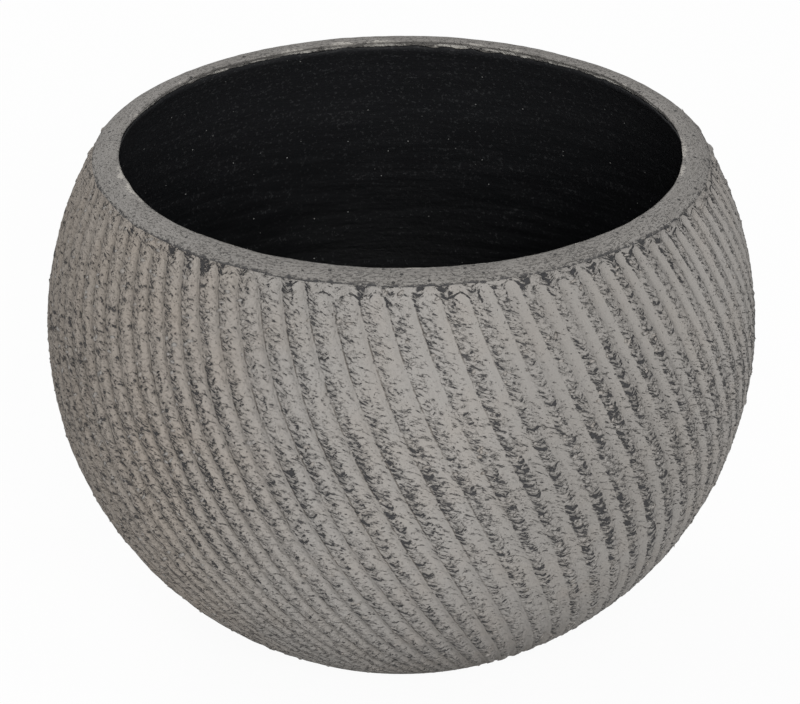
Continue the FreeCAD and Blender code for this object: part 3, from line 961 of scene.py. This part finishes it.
# %% Flakes
FLAKE_SIZES = (
    ("Flakes", FLOAT, 16000.0), ("Smallest", VECTOR, (0.0010, 0.0006, 0.0002)),
    ("Largest", VECTOR, (0.0028, 0.0015, 0.0005)), ("Spin", FLOAT, 0.7), ("Tilt", FLOAT, 0.12),
    ("Seed", INTEGER, 11), ("Clay", MATERIAL, None))
LEAN_SEED, SIZE_SEED, CHIP_SEED = 5, 6, 7
CHIP = 0.0003


def random_vector(tree, low, high, seed):
    node = add_node(tree, "FunctionNodeRandomValue", {0: low, 1: high, 8: seed}, data_type="FLOAT_VECTOR")
    return Field(tree, node.outputs[0])


def stored(tree, name, kind):
    """An attribute that the rib tree left on the shell."""
    return Field(tree, add_node(tree, "GeometryNodeInputNamedAttribute", {"Name": name}, data_type=kind).outputs[0])


def lay_flakes(tree, size, upright):
    """Turns each flake crosswise to its rib, then leans it a little at random."""
    laid = add_node(tree, "FunctionNodeAlignRotationToVector", {
        "Rotation": upright, "Vector": stored(tree, "along", "FLOAT_VECTOR")}, axis="Y", pivot_axis="Z")
    lean = join_xyz(tree, size["Tilt"], size["Tilt"], size["Spin"])
    lean_back = join_xyz(tree, size["Tilt"] * -1.0, size["Tilt"] * -1.0, size["Spin"] * -1.0)
    leaning = add_node(tree, "FunctionNodeEulerToRotation", {0: random_vector(tree, lean_back, lean, LEAN_SEED)})
    turned = add_node(tree, "FunctionNodeRotateRotation", {
        "Rotation": Field(tree, laid.outputs[0]), "Rotate By": Field(tree, leaning.outputs[0])},
        rotation_space="LOCAL")
    return Field(tree, turned.outputs[0])


def make_flake_tree():
    tree, size, made = geometry_tree("torn_flakes", FLAKE_SIZES)
    spread = add_node(tree, "GeometryNodeDistributePointsOnFaces", {
        "Mesh": size["Geometry"], "Density": size["Flakes"] * stored(tree, "crest", "FLOAT"), "Seed": size["Seed"]})
    flake = add_node(tree, "GeometryNodeMeshUVSphere", {"Segments": 6, "Rings": 2, "Radius": 1.0})
    shape = shape_step(tree, Field(tree, spread.outputs["Points"]), "GeometryNodeInstanceOnPoints", {
        "Instance": Field(tree, flake.outputs["Mesh"]),
        "Rotation": lay_flakes(tree, size, Field(tree, spread.outputs["Rotation"])),
        "Scale": random_vector(tree, size["Smallest"], size["Largest"], SIZE_SEED)})
    shape = shape_step(tree, shape, "GeometryNodeRealizeInstances")
    chipped = random_vector(tree, (-CHIP,) * 3, (CHIP,) * 3, CHIP_SEED)
    shape = shape_step(tree, shape, "GeometryNodeSetPosition", {"Offset": chipped})
    finish_shape(tree, made, shape, size["Clay"])
    return tree


torn_flakes = grow("torn_flakes_clay", make_flake_tree(), ribbed_shell.data.copy(), {"Clay": torn_clay})
for name in ("crest", "along"):
    ribbed_shell.data.attributes.remove(ribbed_shell.data.attributes[name])

# %% [markdown]
# ## Turned pieces
# The rim band and the lining are rings about the pot's axis, so one helper turns an outline into a mesh. The Screw
# modifier could do that too, but a hand trowel never leaves a perfect ring: here each point can be moved a little
# by Perlin noise as it is made.

# %% Turning an outline
RING_SEGMENTS = 480


def turned_faces(rows, segments):
    """Four corners for each face of a ring that closes both ways."""
    faces = []
    for row in range(rows):
        after = (row + 1) % rows
        for column in range(segments):
            beside = (column + 1) % segments
            faces.append((row * segments + column, row * segments + beside,
                          after * segments + beside, after * segments + column))
    return faces


def turn_outline(name, outline, material, shake):
    """A ring turned from a closed outline of radius and height; shake moves each point a little."""
    angles = np.linspace(0, 2 * math.pi, RING_SEGMENTS, endpoint=False)
    points = []
    for radius, height in outline:
        for angle in angles:
            point = Vector((radius * math.cos(angle), radius * math.sin(angle), height))
            points.append(point + shake(point))
    mesh = bpy.data.meshes.new(name)
    mesh.from_pydata(points, [], turned_faces(len(outline), RING_SEGMENTS))
    mesh.materials.append(material)
    mesh.shade_smooth()
    shaped = bmesh.new()
    shaped.from_mesh(mesh)
    bmesh.ops.recalc_face_normals(shaped, faces=shaped.faces)
    shaped.to_mesh(mesh)
    shaped.free()
    piece = bpy.data.objects.new(name, mesh)
    bpy.context.collection.objects.link(piece)
    print(name, len(mesh.vertices), "points")
    return piece


print("rings have", RING_SEGMENTS, "segments")

# %% [markdown]
# ## The rim band
# On the real pot the band is a low rounded strip with a raw inner face. Its outline is an arc from the joint line over
# the crown to the inner edge, and a few steps down the inside. The noise is slow along the top, and lets the inner
# edge waver, because that edge was trimmed by hand.

# %% Rim band
ARC_STEPS = 12
INNER_DROPS = (0.0006, 0.0016, 0.0028, 0.0040, 0.0052)
TOE = ((-0.002, -0.0012), (0.0002, -0.0006))  # beside and below the joint line
HEEL = (0.003, -0.0003)  # behind the inner face, below the joint line
SLOW, FINE = (25.0, 0.0004), (160.0, 0.0002)  # scale and size of each noise
EDGE_WAVE, EDGE_RIPPLE = (18.0, 0.0013), (60.0, 0.0005)
WAVE_REACH = 0.006


def rim_outline():
    """From the joint line over the crown to the inner edge, and down the raw inner face."""
    start, end = Vector((MOUTH_RADIUS, JOINT_HEIGHT)), Vector((RIM_EDGE_RADIUS, RIM_HEIGHT))
    chord = end - start
    side = Vector((-chord.y, chord.x)).normalized()
    side = side if side.y > 0 else -side
    outline = [(MOUTH_RADIUS + beside, JOINT_HEIGHT + below) for beside, below in TOE]
    for step in range(ARC_STEPS + 1):
        share = step / ARC_STEPS
        bulge = 4 * share * (1 - share) * RIM_CROWN
        point = start + chord * share + side * bulge
        outline.append((point.x, point.y))
    for drop in INNER_DROPS:
        height = RIM_HEIGHT - drop
        outline.append((coat_radius(BACKING_DEPTH, height), height))
    outline.append((coat_radius(BACKING_DEPTH, JOINT_HEIGHT) + HEEL[0], JOINT_HEIGHT + HEEL[1]))
    return outline


def rim_shake(point):
    slow, fine, wave, ripple = (noise.noise(point * scale) * size for scale, size in (
        SLOW, FINE, EDGE_WAVE, EDGE_RIPPLE))
    from_edge = math.hypot(point.x, point.y) - RIM_EDGE_RADIUS
    waver = (wave + ripple) * max(0.0, 1.0 - from_edge / WAVE_REACH)
    outward = Vector((point.x, point.y, 0)).normalized()
    return outward * (slow * 0.5 + waver) + Vector((0, 0, slow + fine))


rim_band = turn_outline("rim_band_clay", rim_outline(), trowelled_clay, rim_shake)

# %% [markdown]
# ## The black lining
# The sealing coat runs from a ragged edge just under the rim, down the inside and over the floor to the drain hole.
# Its outline goes down the front of the coat and back up behind it, so that it has a real thickness. Fractal noise
# moves only its top edge, where the brush stopped.

# %% Black lining
LINING_ROWS = 60
BACK_STEP = 6
FLOOR_SHARES = (0.8, 0.6, 0.4, 0.25)
LINING_TOP = RIM_HEIGHT - LINING_EDGE_DROP
RAGGED_SCALE, RAGGED_SIZE, RAGGED_REACH = 120.0, 0.0012, 0.004
FRACTAL = (1.0, 2.0, 3)  # falling off, step in scale, and layers


def lining_outline():
    """Down the inside from the top edge, across the floor to the drain hole, and back behind."""
    heights = [LINING_TOP + (LINING_DEPTH - LINING_TOP) * (step / LINING_ROWS) for step in range(LINING_ROWS + 1)]
    inner = [(coat_radius(LINING_DEPTH, height), height) for height in heights]
    floor_line = [(coat_radius(LINING_DEPTH, LINING_DEPTH) * share, LINING_DEPTH) for share in FLOOR_SHARES]
    floor_line += [(DRAIN_RADIUS, LINING_DEPTH), (DRAIN_RADIUS, LINING_BED)]
    back = [(coat_radius(LINING_BED, height), height) for height in reversed(heights[::BACK_STEP])]
    return inner + floor_line + back


def lining_shake(point):
    near_edge = max(0.0, 1.0 - (LINING_TOP - point.z) / RAGGED_REACH)
    ragged = noise.fractal(point * RAGGED_SCALE, *FRACTAL) * RAGGED_SIZE
    return Vector((0, 0, ragged * near_edge))


black_lining = turn_outline("black_lining_coat", lining_outline(), black_sealer, lining_shake)

# %% [markdown]
# ## Riding the bodies
# Each piece now moves with the CAD body of the pot, and the CAD node that it stands for is hidden. The mat, the backing
# and the plug keep their CAD shapes and get finishes of their own.

# %% Bodies and hidden nodes
for piece, node, finish in ((ribbed_shell, "ribbed_shell", "ribbed_clay"), (rim_band, "rim_band", "trowelled_clay"),
                            (black_lining, "black_lining", "black_sealer")):
    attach(piece, "pot")
    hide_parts(node)
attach(torn_flakes, "pot")
for node, material in (("glass_fibre_mat", fibre_mat), ("backing_layer", raw_clay), ("drain_plug", plug_rubber)):
    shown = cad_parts[node]
    shown.data.materials.clear()
    shown.data.materials.append(material)

# %% [markdown]
# ## The floor
# The photograph has a white ground. The floor is a large pale sheet that glows white to the camera and to
# reflections, through Light Path, and still takes a faint shadow of the pot. It lies a hair below the foot, since two
# faces in one plane would flicker. A white world alone would leave the pot hanging in the air.

# %% Floor
FLOOR_HALF = 12.0
FLOOR_HEIGHT = -0.0003
FLOOR_PALE = (0.86, 0.86, 0.86, 1.0)
WHITE = (1.0, 1.0, 1.0, 1.0)
GLOW_SHARE = 0.95


def make_floor_finish():
    material, tree, shader = new_finish("pale_floor", 0.9, 0.1)
    shader.inputs["Base Color"].default_value = FLOOR_PALE
    glow = add_node(tree, "ShaderNodeEmission", {"Color": WHITE, "Strength": 1.0})
    path = tree.nodes.new("ShaderNodeLightPath")
    seen = largest(Field(tree, path.outputs["Is Camera Ray"]), Field(tree, path.outputs["Is Glossy Ray"]))
    mix = add_node(tree, "ShaderNodeMixShader", {0: seen * GLOW_SHARE})
    tree.links.new(shader.outputs[0], mix.inputs[1])
    tree.links.new(glow.outputs[0], mix.inputs[2])
    tree.links.new(mix.outputs[0], tree.nodes["Material Output"].inputs["Surface"])
    return material


floor_mesh = bpy.data.meshes.new("floor")
floor_mesh.from_pydata([(x * FLOOR_HALF, y * FLOOR_HALF, FLOOR_HEIGHT) for x, y in (
    (-1, -1), (1, -1), (1, 1), (-1, 1))], [], [(0, 1, 2, 3)])
floor_mesh.materials.append(make_floor_finish())
floor = bpy.data.objects.new("floor", floor_mesh)
bpy.context.collection.objects.link(floor)
print("floor", 2 * FLOOR_HALF, "m wide")

# %% [markdown]
# ## Light
# The photograph has soft light with hardly a shadow. An even sky gives most of it. A broad lamp in front and to the
# right models the ribs, and one behind on the left lights the rim's far side. Small lamps would draw hard edges.

# %% Light
SKY_STRENGTH = 0.50
LAMP_SIZE = 1.4
LAMPS = (("front_lamp", (0.5, -2.8, 1.4), 58.0), ("back_lamp", (-1.4, 1.8, 2.2), 30.0))  # name, place and watts


def soft_lamp(name, place, power):
    """A square lamp that faces the pot."""
    lamp = bpy.data.lights.new(name, "AREA")
    lamp.size = LAMP_SIZE
    lamp.energy = power
    holder = bpy.data.objects.new(name, lamp)
    holder.location = place
    aimed = Vector((0, 0, CENTRE_HEIGHT)) - Vector(place)
    holder.rotation_euler = aimed.to_track_quat("-Z", "Y").to_euler()
    bpy.context.collection.objects.link(holder)


world = bpy.data.worlds.new("even_sky")
bpy.context.scene.world = world
world.use_nodes = True
sky = world.node_tree.nodes["Background"]
sky.inputs["Color"].default_value = WHITE
sky.inputs["Strength"].default_value = SKY_STRENGTH
for lamp_name, lamp_place, watts in LAMPS:
    soft_lamp(lamp_name, lamp_place, watts)
bpy.context.scene.view_settings.view_transform = "Standard"
print("lamps", [lamp_name for lamp_name, _, _ in LAMPS])
